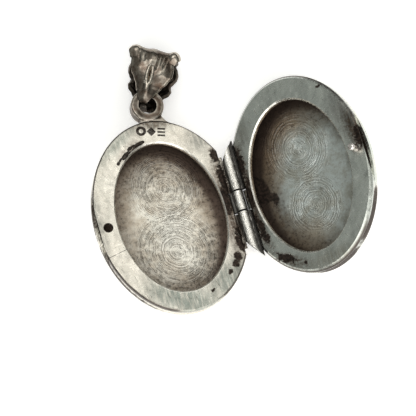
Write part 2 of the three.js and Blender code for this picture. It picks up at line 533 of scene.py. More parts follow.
    def parts(self, vector: object) -> bpy.types.NodeOutputs:
        """Splits coordinates into X, Y and Z."""
        return self.add("ShaderNodeSeparateXYZ", {0: vector}).outputs

    def sooty(self, vector: object, scale: float) -> Socket:
        """Gives the mottled black of tarnish."""
        return self.mix(self.span(self.noise(vector, scale, 4.0, 0.7), 0.4, 0.62), BLACK_TARNISH_AND_SHADE, SOOT_AND_SHADE)

    def dress(self, colour: object, rough: object, normal: object) -> bpy.types.Material:
        """Feeds the metal shader.

        Args:
            colour: the metal's colour.
            rough: its roughness.
            normal: its bumped normal.

        Returns:
            The material.
        """
        for key, value in (("Metallic", 1.0), ("Base Color", colour), ("Roughness", rough), ("Normal", normal)):
            self.feed(self.shader.inputs[key], value)
        return self.material


BLACK_TARNISH_AND_SHADE: Colour = (0.018, 0.015, 0.013)
BROWN_TARNISH: Colour = (0.13, 0.09, 0.062)
SOOT_AND_SHADE: Colour = (0.06, 0.042, 0.034)
SCRATCHED: Colour = (0.3, 0.28, 0.24)
RUBBED_HIGHLIGHT: Colour = (1.0, 0.97, 0.9)


@dataclass(frozen=True)
class Stain:
    """One dark tarnish patch in a half's rim plane."""

    centre: tuple[float, float]
    size: tuple[float, float]
    turn: float = 0.0
    soft: float = 0.8


@dataclass(frozen=True)
class TintAndLightPatch(Stain):
    """One soft patch of another tone: some are tarnish, some are painted reflection, painted light and painted shade.
    """

    colour: Colour = (0.3, 0.3, 0.27)
    depth: float = 0.8


@dataclass(frozen=True)
class RimFinish:
    """Polished flat silver of a rim plate, with its tarnish patches, tints of painted reflection, a painted highlight
    round the opening and a painted dark line round the outer edge.
    """

    name: str
    side: Side
    bright: Colour
    shade: Colour
    rough: float
    stains: tuple[Stain, ...]
    browns: tuple[Stain, ...]
    tints_and_light: tuple[TintAndLightPatch, ...]
    lit_edges: tuple[Stain, ...]
    marks: tuple[Stain, ...] = ()

    def material(self) -> bpy.types.Material:
        """Makes the material."""
        n = Nodes(self.name)
        at = n.local(self.side)
        torn = n.shift(at, n.noise(at, 1.1, 6.0, 0.7, colour=True), 1.3)
        colour = n.mix(n.span(n.noise(at, 0.22, 5.0, 0.6), 0.36, 0.68), self.bright, self.shade)
        fine = n.noise(at, 2.6, 6.0, 0.7)
        coarse = n.noise(at, 0.75, 8.0, 0.72)
        streaks = n.span(n.noise(at, 1.2, 5.0, 0.6, stretch=(0.45, 3.2, 1.0)), 0.36, 0.58, 0.45, 1.0)
        # tone patches broken into streaks: some are tarnish, some a painted uneven reflection of the rim's face
        for tint_and_light in self.tints_and_light:
            share = n.times(n.patches(torn, [tint_and_light]), streaks)
            colour = n.mix(n.times(share, tint_and_light.depth), colour, tint_and_light.colour)
        brown = n.times(n.patches(torn, self.browns), n.span(fine, 0.34, 0.62))
        colour = n.mix(n.times(brown, 0.8), colour, BROWN_TARNISH)
        # tarnish: a brown halo round torn black patches
        dark = n.patches(torn, self.stains)
        ragged = n.plus(dark, n.plus(n.span(coarse, 0.25, 0.75, -0.55, 0.55, smooth=False),
                                     n.span(fine, 0.25, 0.75, -0.3, 0.3, smooth=False)))
        halo = n.times(n.span(ragged, 0.1, 0.6), n.span(dark, 0.0, 0.3))
        colour = n.mix(n.times(halo, 0.5), colour, BROWN_TARNISH)
        specks = n.span(n.noise(at, 4.5, 2.0, 0.5), 0.72, 0.77)
        dark = n.most([n.span(ragged, 0.46, 0.72), n.times(specks, 0.7), self.grooves(n, at)])
        # the opening's edge is painted near white: tarnish rubbed off there, and a painted highlight of its rounded
        # edge
        opening = n.away(at, (self.side.value * (RIM_MIDDLE - 0.05), OPENING_Y), OPENING_HALF)
        worn = n.times(n.span(opening, 1.018, 1.03, 1.0, 0.0), n.span(fine, 0.3, 0.5, 0.4, 1.0))
        dark = n.times(dark, n.calc("SUBTRACT", 1.0, n.times(worn, 0.9)))
        # the outer edge has a dark line: painted shade for the shadowed floor that its rounded lip reflects, left off
        # on the lit edges
        painted_edge_shade = n.span(n.away(at, (self.side.value * RIM_MIDDLE, 0.0), RIM_HALF), 0.974, 0.996, 0.0, 0.9)
        painted_edge_shade = n.times(painted_edge_shade, n.calc("SUBTRACT", 1.0, n.patches(at, self.lit_edges)))
        colour = n.mix(painted_edge_shade, colour, SOOT_AND_SHADE)
        colour = n.mix(n.times(worn, 0.8), colour, RUBBED_HIGHLIGHT)
        colour = n.mix(n.times(dark, 0.96), colour, n.sooty(at, 3.1))
        scratches = n.plus(n.noise(at, 9.0, 3.0, 0.6, stretch=(9.0, 0.25, 1.0), turn=SCRATCH_TURN),
                           n.noise(at, 7.0, 3.0, 0.6, stretch=(0.25, 8.0, 1.0), turn=SCRATCH_TURN + 0.5))
        nicks = n.span(n.noise(at, 2.2, 2.0, 0.5, stretch=(0.35, 5.0, 1.0), turn=SCRATCH_TURN), 0.68, 0.72)
        colour = n.mix(n.times(nicks, 0.45), colour, SCRATCHED)
        rough = n.plus(n.span(fine, 0.3, 0.75, self.rough, self.rough + 0.12), n.times(dark, 0.3))
        normal = n.bump(n.noise(at, 0.3, 2.0), 0.0004)
        normal = n.bump(scratches, 0.00001, normal)
        normal = n.bump(n.calc("SUBTRACT", 1.0, n.calc("MAXIMUM", dark, nicks)), 0.00002, normal)
        return n.dress(colour, rough, normal)

    def grooves(self, n: Nodes, at: Socket) -> object:
        """Gives the mask of grime lying in the marks below the rim's face.

        Args:
            n: the material's nodes.
            at: the half's own coordinates.

        Returns:
            The mask, or 0 where the rim has no marks.
        """
        if not self.marks:
            return 0.0
        below = n.span(n.parts(at)["Z"], -0.125, -0.165, 0.0, 1.0)
        worn = n.span(n.noise(at, 2.3, 4.0, 0.7), 0.36, 0.56, 0.8, 1.0)
        return n.times(n.times(below, n.patches(at, self.marks)), worn)


@dataclass(frozen=True)
class RecessFinish:
    """Inside of a dome: turned polishing rings, satin silver, painted shade that turns brown towards its walls, and a
    painted shadow under the rim.
    """

    name: str
    side: Side
    bright: Colour
    shade: Colour
    edge: Colour
    rough: float
    rings: tuple[tuple[float, float, float], ...]
    tints_and_light: tuple[TintAndLightPatch, ...]
    open_side: tuple[float, float]
    lean: float
    grain: float
    ring_depth: float
    edge_from: float
    stains: tuple[Stain, ...] = ()

    def material(self) -> bpy.types.Material:
        """Makes the material."""
        n = Nodes(self.name)
        at = n.local(self.side)
        middle = self.side.value * 10.6
        wobble = n.noise(at, 0.9, 4.0, 0.6, colour=True)
        torn = n.shift(at, wobble, 2.2)
        clouds = n.noise(at, 0.4, 6.0, 0.7)
        colour = n.mix(n.span(clouds, 0.38, 0.66), self.bright, self.shade)
        colour = n.mix(n.times(n.span(n.noise(at, 1.7, 6.0, 0.75), 0.44, 0.66), 0.45), colour, self.shade)
        # painted shade: darker and browner towards the walls, and darker on one side where lean moves the middle
        edge = n.span(n.away(torn, (middle + self.lean, -0.9), (8.6, 12.1)), self.edge_from, 0.98)
        for tint_and_light in self.tints_and_light:
            colour = n.mix(n.times(n.patches(torn, [tint_and_light]), tint_and_light.depth), colour, tint_and_light.colour)
        colour = n.mix(n.times(edge, 0.9), colour, self.edge)
        lines = self.polish(n, at)
        colour = n.mix(n.span(lines, 0.0, -0.9, 0.0, self.ring_depth), colour, self.edge)
        colour = n.mix(n.span(lines, 0.1, 0.9, 0.0, self.ring_depth * 0.6), colour, (0.93, 0.91, 0.86))
        # painted shadow: a dark band along the walls where the rim overhangs the recess
        foot = (middle + self.open_side[0], OPENING_Y + self.open_side[1])
        painted_overhang_shadow = n.away(n.shift(at, wobble, 0.5), foot, OPENING_HALF)
        colour = n.mix(n.span(painted_overhang_shadow, 0.9, 1.03, 0.0, 0.9), colour, SOOT_AND_SHADE)
        pits = n.span(n.noise(at, 3.6, 2.0, 0.5), 0.70, 0.75)
        grime = n.times(n.span(n.noise(at, 2.0, 7.0, 0.78), 0.46, 0.68), n.plus(n.times(edge, 0.75), 0.14))
        dark = n.calc("MAXIMUM", n.times(pits, 0.85), grime)
        if self.stains:
            ragged = n.span(n.noise(at, 0.9, 8.0, 0.72), 0.25, 0.75, -0.5, 0.5, smooth=False)
            ragged = n.plus(n.patches(torn, self.stains), ragged)
            dark = n.calc("MAXIMUM", dark, n.span(ragged, 0.4, 0.8, 0.0, 0.93))
        colour = n.mix(dark, colour, n.sooty(at, 2.2))
        rough = n.plus(n.span(clouds, 0.3, 0.7, self.rough, self.rough + 0.12), n.times(dark, 0.25))
        normal = n.bump(lines, 0.000018)
        normal = n.bump(n.times(n.noise(at, 4.0, 5.0, 0.7), 0.6 * self.grain), 0.00003, normal)
        return n.dress(colour, rough, normal)

    def polish(self, n: Nodes, at: Socket) -> Socket:
        """Gives the uneven turned rings, from -1 to 1.

        Args:
            n: the material's nodes.
            at: the half's own coordinates.

        Returns:
            Their height.
        """
        lines: object = 0.0
        warped = n.shift(at, n.noise(at, 0.7, 3.0, colour=True), 0.5)
        for x, y, extent in self.rings:
            distance = n.away(warped, (x, y), (1.0, 1.1), 0.3)
            inputs = {"W": n.plus(distance, x * 3.0), "Scale": 5.0, "Detail": 4.0, "Roughness": 0.7}
            uneven = n.add("ShaderNodeTexNoise", inputs, noise_dimensions="1D").outputs["Fac"]
            share = n.span(distance, extent * 0.6, extent * 1.1, 1.0, 0.0)
            lines = n.plus(lines, n.times(n.span(uneven, 0.36, 0.64, -1.0, 1.0), share))
        return n.times(lines, n.span(n.noise(at, 1.0, 4.0, 0.65), 0.32, 0.6, 0.25, 1.0))


@dataclass(frozen=True)
class OuterFinish:
    """Outside of the case: polished silver with handling marks, darker near the hinge, with painted dark strips of
    reflected shade low on the walls.
    """

    name: str
    side: Side
    bright: Colour
    shade: Colour
    rough: float
    painted_shade_bands: tuple[Stain, ...]

    def material(self) -> bpy.types.Material:
        """Makes the material."""
        n = Nodes(self.name)
        at = n.local(self.side)
        colour = n.mix(n.span(n.noise(at, 0.25, 5.0, 0.6), 0.36, 0.7), self.bright, self.shade)
        torn = n.shift(at, n.noise(at, 1.3, 5.0, 0.65, colour=True), 1.2)
        hinge = n.away(torn, (self.side.value * 0.6, 0.0, -1.0), (1.3, 9.5, 4.0))
        crumbs = n.times(n.span(n.noise(at, 3.0, 6.0, 0.75), 0.45, 0.6), 0.3)
        dark = n.span(n.plus(n.span(hinge, 0.55, 1.1, 1.0, 0.0), crumbs), 0.5, 0.9)
        uneven = n.span(n.noise(at, 0.9, 7.0, 0.72), 0.25, 0.75, -0.35, 0.25, smooth=False)
        # painted shade: dark strips on the lower walls, for the shadowed floor they reflect
        painted_shade_bands = n.span(n.plus(n.patches(torn, self.painted_shade_bands), uneven), 0.2, 0.85)
        dark = n.calc("MAXIMUM", dark, painted_shade_bands)
        colour = n.mix(n.times(dark, 0.95), colour, SOOT_AND_SHADE)
        lines = n.noise(at, 6.0, 4.0, 0.65, stretch=(6.0, 0.3, 6.0), turn=0.7)
        cross = n.noise(at, 5.0, 4.0, 0.65, stretch=(0.3, 6.0, 6.0), turn=0.2)
        rough = n.plus(n.span(lines, 0.35, 0.7, self.rough, self.rough + 0.16), n.times(dark, 0.3))
        normal = n.bump(n.noise(at, 0.55, 3.0), 0.00025)
        return n.dress(colour, rough, n.bump(n.plus(lines, cross), 0.000007, normal))


@dataclass(frozen=True)
class CastFinish:
    """Cast silver with dark patina in its hollows and rubbed high parts."""

    name: str
    rubbed: Colour
    patina: Colour
    deep: Colour
    rough: float
    warm: Colour = (0.12, 0.072, 0.048)
    plain: bool = False

    def material(self) -> bpy.types.Material:
        """Makes the material."""
        n = Nodes(self.name)
        at = n.own(LOOP, -TILT)
        fine = n.noise(at, 2.6, 6.0, 0.72)
        grain = n.span(fine, 0.3, 0.7, -0.07, 0.07, smooth=False)
        drift = n.span(n.noise(at, 0.45, 5.0, 0.65), 0.3, 0.7, -0.17, 0.15, smooth=False)
        high = n.plus(n.plus(0.55 if self.plain else n.attribute("relief"), grain), drift)
        colour = n.mix(n.span(high, 0.42, 0.8), self.patina, self.rubbed)
        warm = n.span(n.noise(at, 0.7, 5.0, 0.7), 0.42, 0.62, 0.0, 0.55)
        colour = n.mix(warm, colour, self.warm)
        colour = n.mix(n.span(high, 0.72, 0.98, 0.0, 0.7), colour, self.rubbed)
        colour = n.mix(n.span(high, 0.16, 0.44, 1.0, 0.0), colour, self.deep)
        pits = n.span(n.noise(at, 5.0, 2.0, 0.5), 0.70, 0.74)
        colour = n.mix(n.times(pits, 0.7), colour, BLACK_TARNISH_AND_SHADE)
        rough = n.span(high, 0.25, 0.85, self.rough + 0.2, self.rough)
        normal = n.bump(n.noise(at, 0.9, 3.0), 0.000025)
        return n.dress(colour, rough, n.bump(fine, 0.000004, normal))


@dataclass(frozen=True)
class HingeFinish:
    """Barrel silver: a bright crest between painted shade low down and down both sides, with painted shadow at the
    knuckle joints.
    """

    name: str
    bright: Colour
    rough: float

    def material(self) -> bpy.types.Material:
        """Makes the material."""
        n = Nodes(self.name)
        at = n.own(HINGE, 0.0)
        split = n.parts(at)
        fine = n.noise(at, 3.2, 6.0, 0.75)
        lines = n.noise(at, 4.0, 4.0, 0.65, stretch=(0.35, 5.0, 0.35))
        torn = n.plus(split["Z"], n.span(fine, 0.2, 0.8, -0.55, 0.55, smooth=False))
        side = n.plus(split["X"], n.span(lines, 0.2, 0.8, -0.5, 0.5, smooth=False))
        # painted shade: dark low down and down both sides of the barrel, leaving its crest bright; the joints get
        # painted shadow
        masks = [n.span(torn, -0.35, 0.45, 1.0, 0.0), n.span(side, -0.25, -0.62, 0.0, 0.85),
                 n.span(side, 0.6, 0.85, 0.0, 0.9)]
        for station in KNUCKLE_JOINTS:
            gap = n.calc("ABSOLUTE", n.calc("SUBTRACT", split["Y"], station))
            masks.append(n.span(gap, 0.08, 0.2, 1.0, 0.0))
        dark = n.most(masks)
        colour = n.mix(n.span(fine, 0.35, 0.7, 0.0, 0.45), self.bright, (0.42, 0.38, 0.33))
        colour = n.mix(dark, colour, BLACK_TARNISH_AND_SHADE)
        rough = n.plus(n.span(lines, 0.35, 0.7, self.rough, self.rough + 0.15), n.times(dark, 0.25))
        colour = n.mix(n.times(n.span(n.noise(at, 3.0, 3.0, 0.6), 0.62, 0.7), 0.7), colour, SOOT_AND_SHADE)
        normal = n.bump(n.noise(at, 1.3, 3.0, 0.6), 0.00009)
        return n.dress(colour, rough, n.bump(n.plus(fine, lines), 0.00004, normal))


# ---------------------------------------------------------------- pieces


def finish_piece(thing: Thing, place: Matrix, body: Body, replaced: Sequence[str],
                 materials: Sequence[bpy.types.Material], crease: float = 32.0) -> Thing:
    """Args:
        thing: the piece, in its own millimetres.
        place: from there to the frame.
        body: the rigid body it rides on.
        replaced: CAD nodes it stands for.
        materials: its finishes.
        crease: edges sharper than this many degrees stay crisp.

    Returns:
        The piece.
    """
    thing.data.transform(place)
    thing.data.update()
    if not thing.data.materials:
        for material in materials:
            thing.data.materials.append(material)
    thing.data.shade_smooth()
    thing.data.set_sharp_from_angle(angle=math.radians(crease))
    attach(thing, body.value)
    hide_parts(*replaced)
    LOG.info("%s: %d faces on %s", thing.name, len(thing.data.polygons), body.value)
    return thing


@dataclass
class CaseHalf:
    """One half of the case: its domed shell and its flat rim plate."""

    side: Side
    body: Body
    slot: Slot
    shell_node: str
    rim_node: str
    rim_finish: RimFinish
    recess_finish: RecessFinish
    outer_finish: OuterFinish
    hole_radius: float
    wide: float = RIM_HALF[0]
    long: float = RIM_HALF[1]
    middle: float = RIM_MIDDLE
    flat: float = 1.2
    rim_top: float = -0.1
    rim_thick: float = 0.75
    lip: float = 0.3
    lip_steps: int = 7
    seam: float = 0.03
    opening: tuple[float, float] = OPENING_HALF
    opening_y: float = OPENING_Y
    wall_depth: float = 1.95
    dome_depth: float = 3.9
    sheet: float = 0.45
    catch_x: float = 20.25
    chamfer: float = 0.2
    ledges: tuple[tuple[float, float], ...] = ((-1.7, 1.3),)
    ledge_in: float = 0.66
    ledge_high: float = 0.66
    ledge_low: float = 0.86
    nick_depth: float = 0.4
    nick_tilt: float = 20.0
    nick_drop: float = 1.1

    def build(self) -> None:
        """Builds and dresses both pieces."""
        self.shell()
        self.rim()

    def cut_flat(self, bm: Mesh) -> None:
        """Cuts the hinge side of the oval flat."""
        bmesh.ops.bisect_plane(bm, geom=bm.verts[:] + bm.edges[:] + bm.faces[:], clear_outer=True, dist=1e-6,
                               plane_co=(self.side.value * self.flat, 0, 0), plane_no=(-self.side.value, 0, 0))

    def nick(self) -> Thing:
        """Makes the slanted cutter of the thumbnail nick."""
        sign = self.side.value
        reach = self.middle + self.wide - self.nick_depth
        turn = Matrix.Rotation(sign * math.radians(self.nick_tilt), 4, "Y")
        place = Matrix.Translation((sign * reach, 0, self.rim_top)) @ turn @ Matrix.Translation((sign * 2, 0, 0))
        bm = block((4, 30, 8), place)
        slice_off(bm, (0, 0, self.rim_top - self.nick_drop), (0, 0, -1))
        clean(bm)
        return shape_object(bm, "nick")

    def shell(self) -> None:
        """Builds the domed shell from its spun profile."""
        sign = self.side.value
        top = self.rim_top - self.rim_thick - self.seam
        profile = [(1.0, top), (1.0, -self.wall_depth)]
        steps = 26
        for step in range(1, steps + 1):
            t = step / steps * math.pi / 2
            drop_by = (self.dome_depth - self.wall_depth) * math.sin(t) ** 1.1
            profile.append((max(math.cos(t), 0.0) ** 0.62 if step < steps else 0.0, -self.wall_depth - drop_by))
        bm = turned(profile, 224)
        bmesh.ops.scale(bm, vec=(self.wide, self.long, 1), verts=bm.verts)
        bmesh.ops.translate(bm, vec=(sign * self.middle, 0, 0), verts=bm.verts)
        self.cut_flat(bm)
        corners = [v for v in bm.verts if abs(abs(v.co.x) - self.flat) < 1e-4 and abs(v.co.z - top) < 1e-4]
        corners.sort(key=lambda v: v.co.y)
        bm.edges.new((corners[0], corners[-1]))
        side_edges = [e for e in bm.edges if all(abs(abs(v.co.x) - self.flat) < 1e-4 for v in e.verts)]
        bmesh.ops.contextual_create(bm, geom=side_edges)
        clean(bm)
        made = shape_object(bm, f"{self.shell_node}_skin")
        made.data.materials.append(self.outer_finish.material())
        made.data.materials.append(self.recess_finish.material())
        round_edges(made, 0.22, 4, 40.0)
        change(made, "SOLIDIFY", thickness=self.sheet, offset=-1.0, use_even_offset=True, material_offset=1)
        carve(made, [self.nick()])
        finish_piece(made, half_matrix(self.side), self.body, [self.shell_node], [], 50.0)

    def rim(self) -> None:
        """Builds the flat rim plate with its opening, catch hole and marks."""
        sign = self.side.value
        outline = oval(self.wide, self.long, (sign * self.middle, 0.0))
        self.cut_flat(outline)
        low = self.rim_top - self.rim_thick
        plate = slab(outline, low, self.rim_top)
        lip = [e for e in plate.edges if all(v.co.z > self.rim_top - 1e-5 for v in e.verts)]
        bmesh.ops.bevel(plate, geom=lip, offset=self.lip, segments=self.lip_steps, profile=0.5,
                        affect="EDGES", material=-1)
        made = shape_object(plate, f"{self.rim_node}_skin")
        opening = oval(*self.opening, (sign * (self.middle - 0.05), self.opening_y))
        chamfer = slab(oval(*self.opening, (0.0, 0.0)), -self.chamfer, self.chamfer)
        for vert in chamfer.verts:
            if vert.co.z > 0:
                vert.co.x *= 1 + 2 * self.chamfer / self.opening[0]
                vert.co.y *= 1 + 2 * self.chamfer / self.opening[1]
        middle = (sign * (self.middle - 0.05), self.opening_y, self.rim_top)
        bmesh.ops.translate(chamfer, verts=chamfer.verts, vec=middle)
        cutters = [
            shape_object(slab(opening, -3, 3), "opening"),
            shape_object(chamfer, "chamfer"),
            shape_object(rod(self.hole_radius, 6, Matrix.Translation((sign * self.catch_x, 0, 0))), "hole"),
            self.nick(),
        ]
        carve(made, cutters)
        for low_y, high_y in self.ledges:
            size = (self.flat + 0.1 - self.ledge_in, high_y - low_y, self.ledge_low - self.ledge_high)
            centre = (sign * (self.flat + 0.1 + self.ledge_in) / 2, (low_y + high_y) / 2,
                      -(self.ledge_low + self.ledge_high) / 2)
            carve(made, [shape_object(block(size, Matrix.Translation(centre)), "ledge")], "UNION")
        round_edges(made, 0.06, 3, 30.0)
        carve(made, self.marks())
        weigh = made.modifiers.new("weigh", "WEIGHTED_NORMAL")
        weigh.keep_sharp = True
        finish_piece(made, half_matrix(self.side), self.body, [self.rim_node],
                     [self.rim_finish.material()], 50.0)

    def marks(self) -> list[Thing]:
        """Makes the cutters of the marks in the rim: none here, the base half has some."""
        return []


@dataclass
class BaseHalf(CaseHalf):
    """The half with the hanging loop: its rim is punched, scored and butt-jointed."""

    ledges: tuple[tuple[float, float], ...] = ((-7.3, -1.94), (1.5, 7.3))
    punch_row: tuple[float, float] = (-10.05, 13.25)
    punch_turn: float = -14.5
    punch_depth: float = 0.14
    ring: tuple[float, float, float] = (-1.55, 0.76, 0.34)
    bars: tuple[float, ...] = (-0.52, 0.0, 0.52)
    bars_from_middle: float = 1.5
    bar: tuple[float, float] = (1.15, 0.28)
    butt_at: tuple[float, float] = (-19.95, -4.2)
    butt_turn: float = 14.5
    butt: tuple[float, float, float] = (4.6, 0.07, 0.36)
    score_runs: tuple[tuple[float, ...], ...] = (
        (97.0, 106.0, 0.62, 0.34), (107.0, 114.0, 0.8, 0.26), (115.0, 123.0, 0.52, 0.38), (124.0, 130.0, 0.75, 0.24))
    score_steps: int = 10

    def marks(self) -> list[Thing]:
        """Makes the punched row, the butt seam and the scored arc.

        Returns:
            The cutters.
        """
        deep = 2 * self.punch_depth
        row = Matrix.Translation((*self.punch_row, self.rim_top)) @ Matrix.Rotation(
            math.radians(self.punch_turn), 4, "Z")
        along, outer, inner = self.ring
        left = row @ Matrix.Translation((along, 0, 0))
        ring = shape_object(rod(outer, deep, left, 32), "punch ring")
        carve(ring, [shape_object(rod(inner, 1.0, left, 24), "punch heart")])
        diamond = block((1.0, 1.0, deep), row @ Matrix.Rotation(math.radians(45), 4, "Z"))
        made = [ring, shape_object(diamond, "punch diamond")]
        for up in self.bars:
            place = row @ Matrix.Translation((self.bars_from_middle, up, 0))
            made.append(shape_object(block((*self.bar, deep), place), "punch bar"))
        seam = Matrix.Translation((*self.butt_at, self.rim_top)) @ Matrix.Rotation(
            math.radians(self.butt_turn), 4, "Z")
        made.append(shape_object(block(self.butt, seam), "butt seam"))
        return made + self.scores()

    def scores(self) -> list[Thing]:
        """Makes the broken scored arc beside the opening.

        Returns:
            Its cutters.
        """
        made = []
        for start, stop, away, width in self.score_runs:
            for step in range(self.score_steps):
                angle = math.radians(start + (stop - start) * (step + 0.5) / self.score_steps)
                x = self.side.value * (self.middle - 0.05) + (self.opening[0] + away) * math.cos(angle)
                y = self.opening_y + (self.opening[1] + away) * math.sin(angle)
                girth = width * (0.7 + 0.6 * abs(noise.noise(Vector((x * 2, y * 2, 0)))))
                bm = bmesh.new()
                bmesh.ops.create_icosphere(bm, subdivisions=2, radius=girth,
                                           matrix=Matrix.Translation((x, y, self.rim_top)))
                made.append(shape_object(bm, "score"))
        return made


@dataclass
class Hinge:
    """Three knuckles of the barrel and their pin."""

    finish: HingeFinish
    radius: float = 0.85
    bore: float = 0.46
    pin: float = 0.42
    joints: tuple[float, float] = KNUCKLE_JOINTS
    gap: float = 0.1
    end: float = 7.5
    slant: float = 54.0
    web: tuple[float, float] = (-0.76, -0.14)
    web_reach: tuple[float, float] = (0.2, 1.16)
    seam_turn: float = -38.0
    pin_short: float = 0.06

    def build(self) -> None:
        """Builds the knuckles and the pin."""
        dress = self.finish.material()
        upper, lower = self.joints
        half = self.gap / 2
        self.knuckle("hinge_knuckle_upper", Side.COVER, Body.COVER, upper + half, 12.0, 1, dress)
        self.knuckle("hinge_knuckle_middle", Side.BASE, Body.BASE, lower + half, upper - half, 0, dress)
        self.knuckle("hinge_knuckle_lower", Side.COVER, Body.COVER, -12.0, lower - half, -1, dress)
        self.rivet(dress)

    def place(self) -> Matrix:
        """Gives the barrel's place, its axis along Y."""
        return Matrix.Translation(HINGE) @ Matrix.Scale(MM, 4)

    def trim(self, bm: Mesh, end: int, inset: float = 0.0) -> None:
        """Cuts a slanted barrel end, the upper for 1 and the lower for -1, and closes it."""
        normal = Matrix.Rotation(end * math.radians(self.slant), 3, "Z") @ Vector((0, end, 0))
        slice_off(bm, (0, end * (self.end - inset), 0), normal)

    def knuckle(self, node: str, side: Side, body: Body, low: float, high: float, end: int,
                dress: bpy.types.Material) -> None:
        """Builds one knuckle with its web.

        Args:
            node: the CAD node it stands for.
            side: the half it is soldered to.
            body: the body it rides on.
            low: lower station along the hinge.
            high: upper station.
            end: which slanted end it has, or 0.
            dress: its material.
        """
        middle = (low + high) / 2
        bm = rod(self.radius, high - low, along_y(middle), 96)
        near, far = self.web_reach
        centre = Matrix.Translation((side.value * (near + far) / 2, middle, sum(self.web) / 2))
        web = block((far - near, high - low, self.web[1] - self.web[0]),
                    Matrix.Rotation(-side.value * TILT, 4, "Y") @ centre)
        if end:
            self.trim(bm, end)
            self.trim(web, end)
        made = shape_object(bm, f"{node}_skin")
        carve(made, [shape_object(web, "web")], "UNION")
        fuse(made, 0.045, 3)
        bore = rod(self.bore, 40, along_y(0.0))
        turn = Matrix.Rotation(math.radians(self.seam_turn), 4, "Y")
        seam = block((0.05, 40, 0.5), turn @ Matrix.Translation((0, 0, self.radius)))
        carve(made, [shape_object(bore, "bore"), shape_object(seam, "rolled seam")])
        finish_piece(made, self.place(), body, [node], [dress], 45.0)

    def rivet(self, dress: bpy.types.Material) -> None:
        """Builds the riveted pin.

        Args:
            dress: its material.
        """
        bm = rod(self.pin, 24, along_y(0.0))
        for end in (1, -1):
            self.trim(bm, end, self.pin_short)
        clean(bm)
        made = shape_object(bm, "hinge_pin_skin")
        finish_piece(made, self.place(), Body.COVER, ["hinge_pin"], [dress], 45.0)


@dataclass
class CatchStud:
    """Domed catch peg on the cover's rim."""

    finish: CastFinish
    at: tuple[float, float] = (20.25, 0.0)
    profile: Outline = (
        (0.0, -0.95), (0.38, -0.95), (0.38, -0.06), (0.6608, -0.06), (0.6048, 0.03), (0.5152, 0.14), (0.4816, 0.4),
        (0.5152, 0.9), (0.56, 1.1), (0.532, 1.28), (0.42, 1.42), (0.224, 1.49), (0.0, 1.5))

    def build(self) -> None:
        """Spins the peg and dresses it."""
        bm = turned(self.profile, 48)
        bmesh.ops.translate(bm, vec=(*self.at, 0), verts=bm.verts)
        made = shape_object(bm, "catch_stud_skin")
        change(made, "SUBSURF", levels=1, render_levels=1)
        finish_piece(made, half_matrix(Side.COVER), Body.COVER, ["catch_stud"],
                     [self.finish.material()], 60.0)


@dataclass
class HangingLoop:
    """Thick soldered loop at the top of the base half."""

    finish: CastFinish
    radius: float = 2.5
    hole: float = 1.33
    low: float = -1.025
    high: float = 1.025
    foot: float = 2.5
    foot_taper: float = 0.95
    foot_long: float = 1.9
    foot_thick: float = 1.75
    foot_down: float = 0.75
    rim_middle: tuple[float, float] = (-1.2, -17.5)
    rim_clear: float = 0.05

    def place(self) -> Matrix:
        """Gives the loop's own place, its hole along Z."""
        return Matrix.Translation(LOOP) @ Matrix.Rotation(TILT, 4, "Y") @ Matrix.Scale(MM, 4)

    def build(self) -> None:
        """Melts the ring and its flared foot together."""
        ring = shape_object(slab(oval(self.radius, self.radius, (0, 0), 96), self.low, self.high), "hanging_loop_skin")
        round_edges(ring, 0.28, 4)
        foot = bmesh.new()
        bmesh.ops.create_cube(foot, size=1.0)
        bmesh.ops.subdivide_edges(foot, edges=foot.edges[:], cuts=6, use_grid_fill=True)
        for vert in foot.verts:
            up = vert.co.y + 0.5
            spread = self.foot - self.foot_taper * math.sin(up * math.pi / 2) ** 0.7
            vert.co = Vector((vert.co.x * 2 * spread, up * self.foot_long - self.radius - self.foot_down,
                              vert.co.z * self.foot_thick - 0.05))
        carve(ring, [shape_object(foot, "foot")], "UNION")
        through = bmesh.new()
        bmesh.ops.create_cone(through, cap_ends=True, segments=64, radius1=self.hole - 0.26, radius2=self.hole + 0.02,
                              depth=2.2)
        carve(ring, [shape_object(through, "hole")])
        fuse(ring, 0.06, 4)
        keep_out = slab(oval(*(half + self.rim_clear for half in RIM_HALF), self.rim_middle), -9, 9)
        carve(ring, [shape_object(keep_out, "rim end")])
        mark_relief(ring, 80, 0.11)
        finish_piece(ring, self.place(), Body.BASE, ["hanging_loop"], [self.finish.material()], 60.0)


def ramp(value: float, low: float, high: float) -> float:
    """Goes from 0 to 1 between two values."""
    return min(max((value - low) / (high - low), 0.0), 1.0)


def swell(x: float, y: float = 0.0) -> float:
    """Gives a round swelling of height 1 around 0."""
    return math.exp(-x * x - y * y)


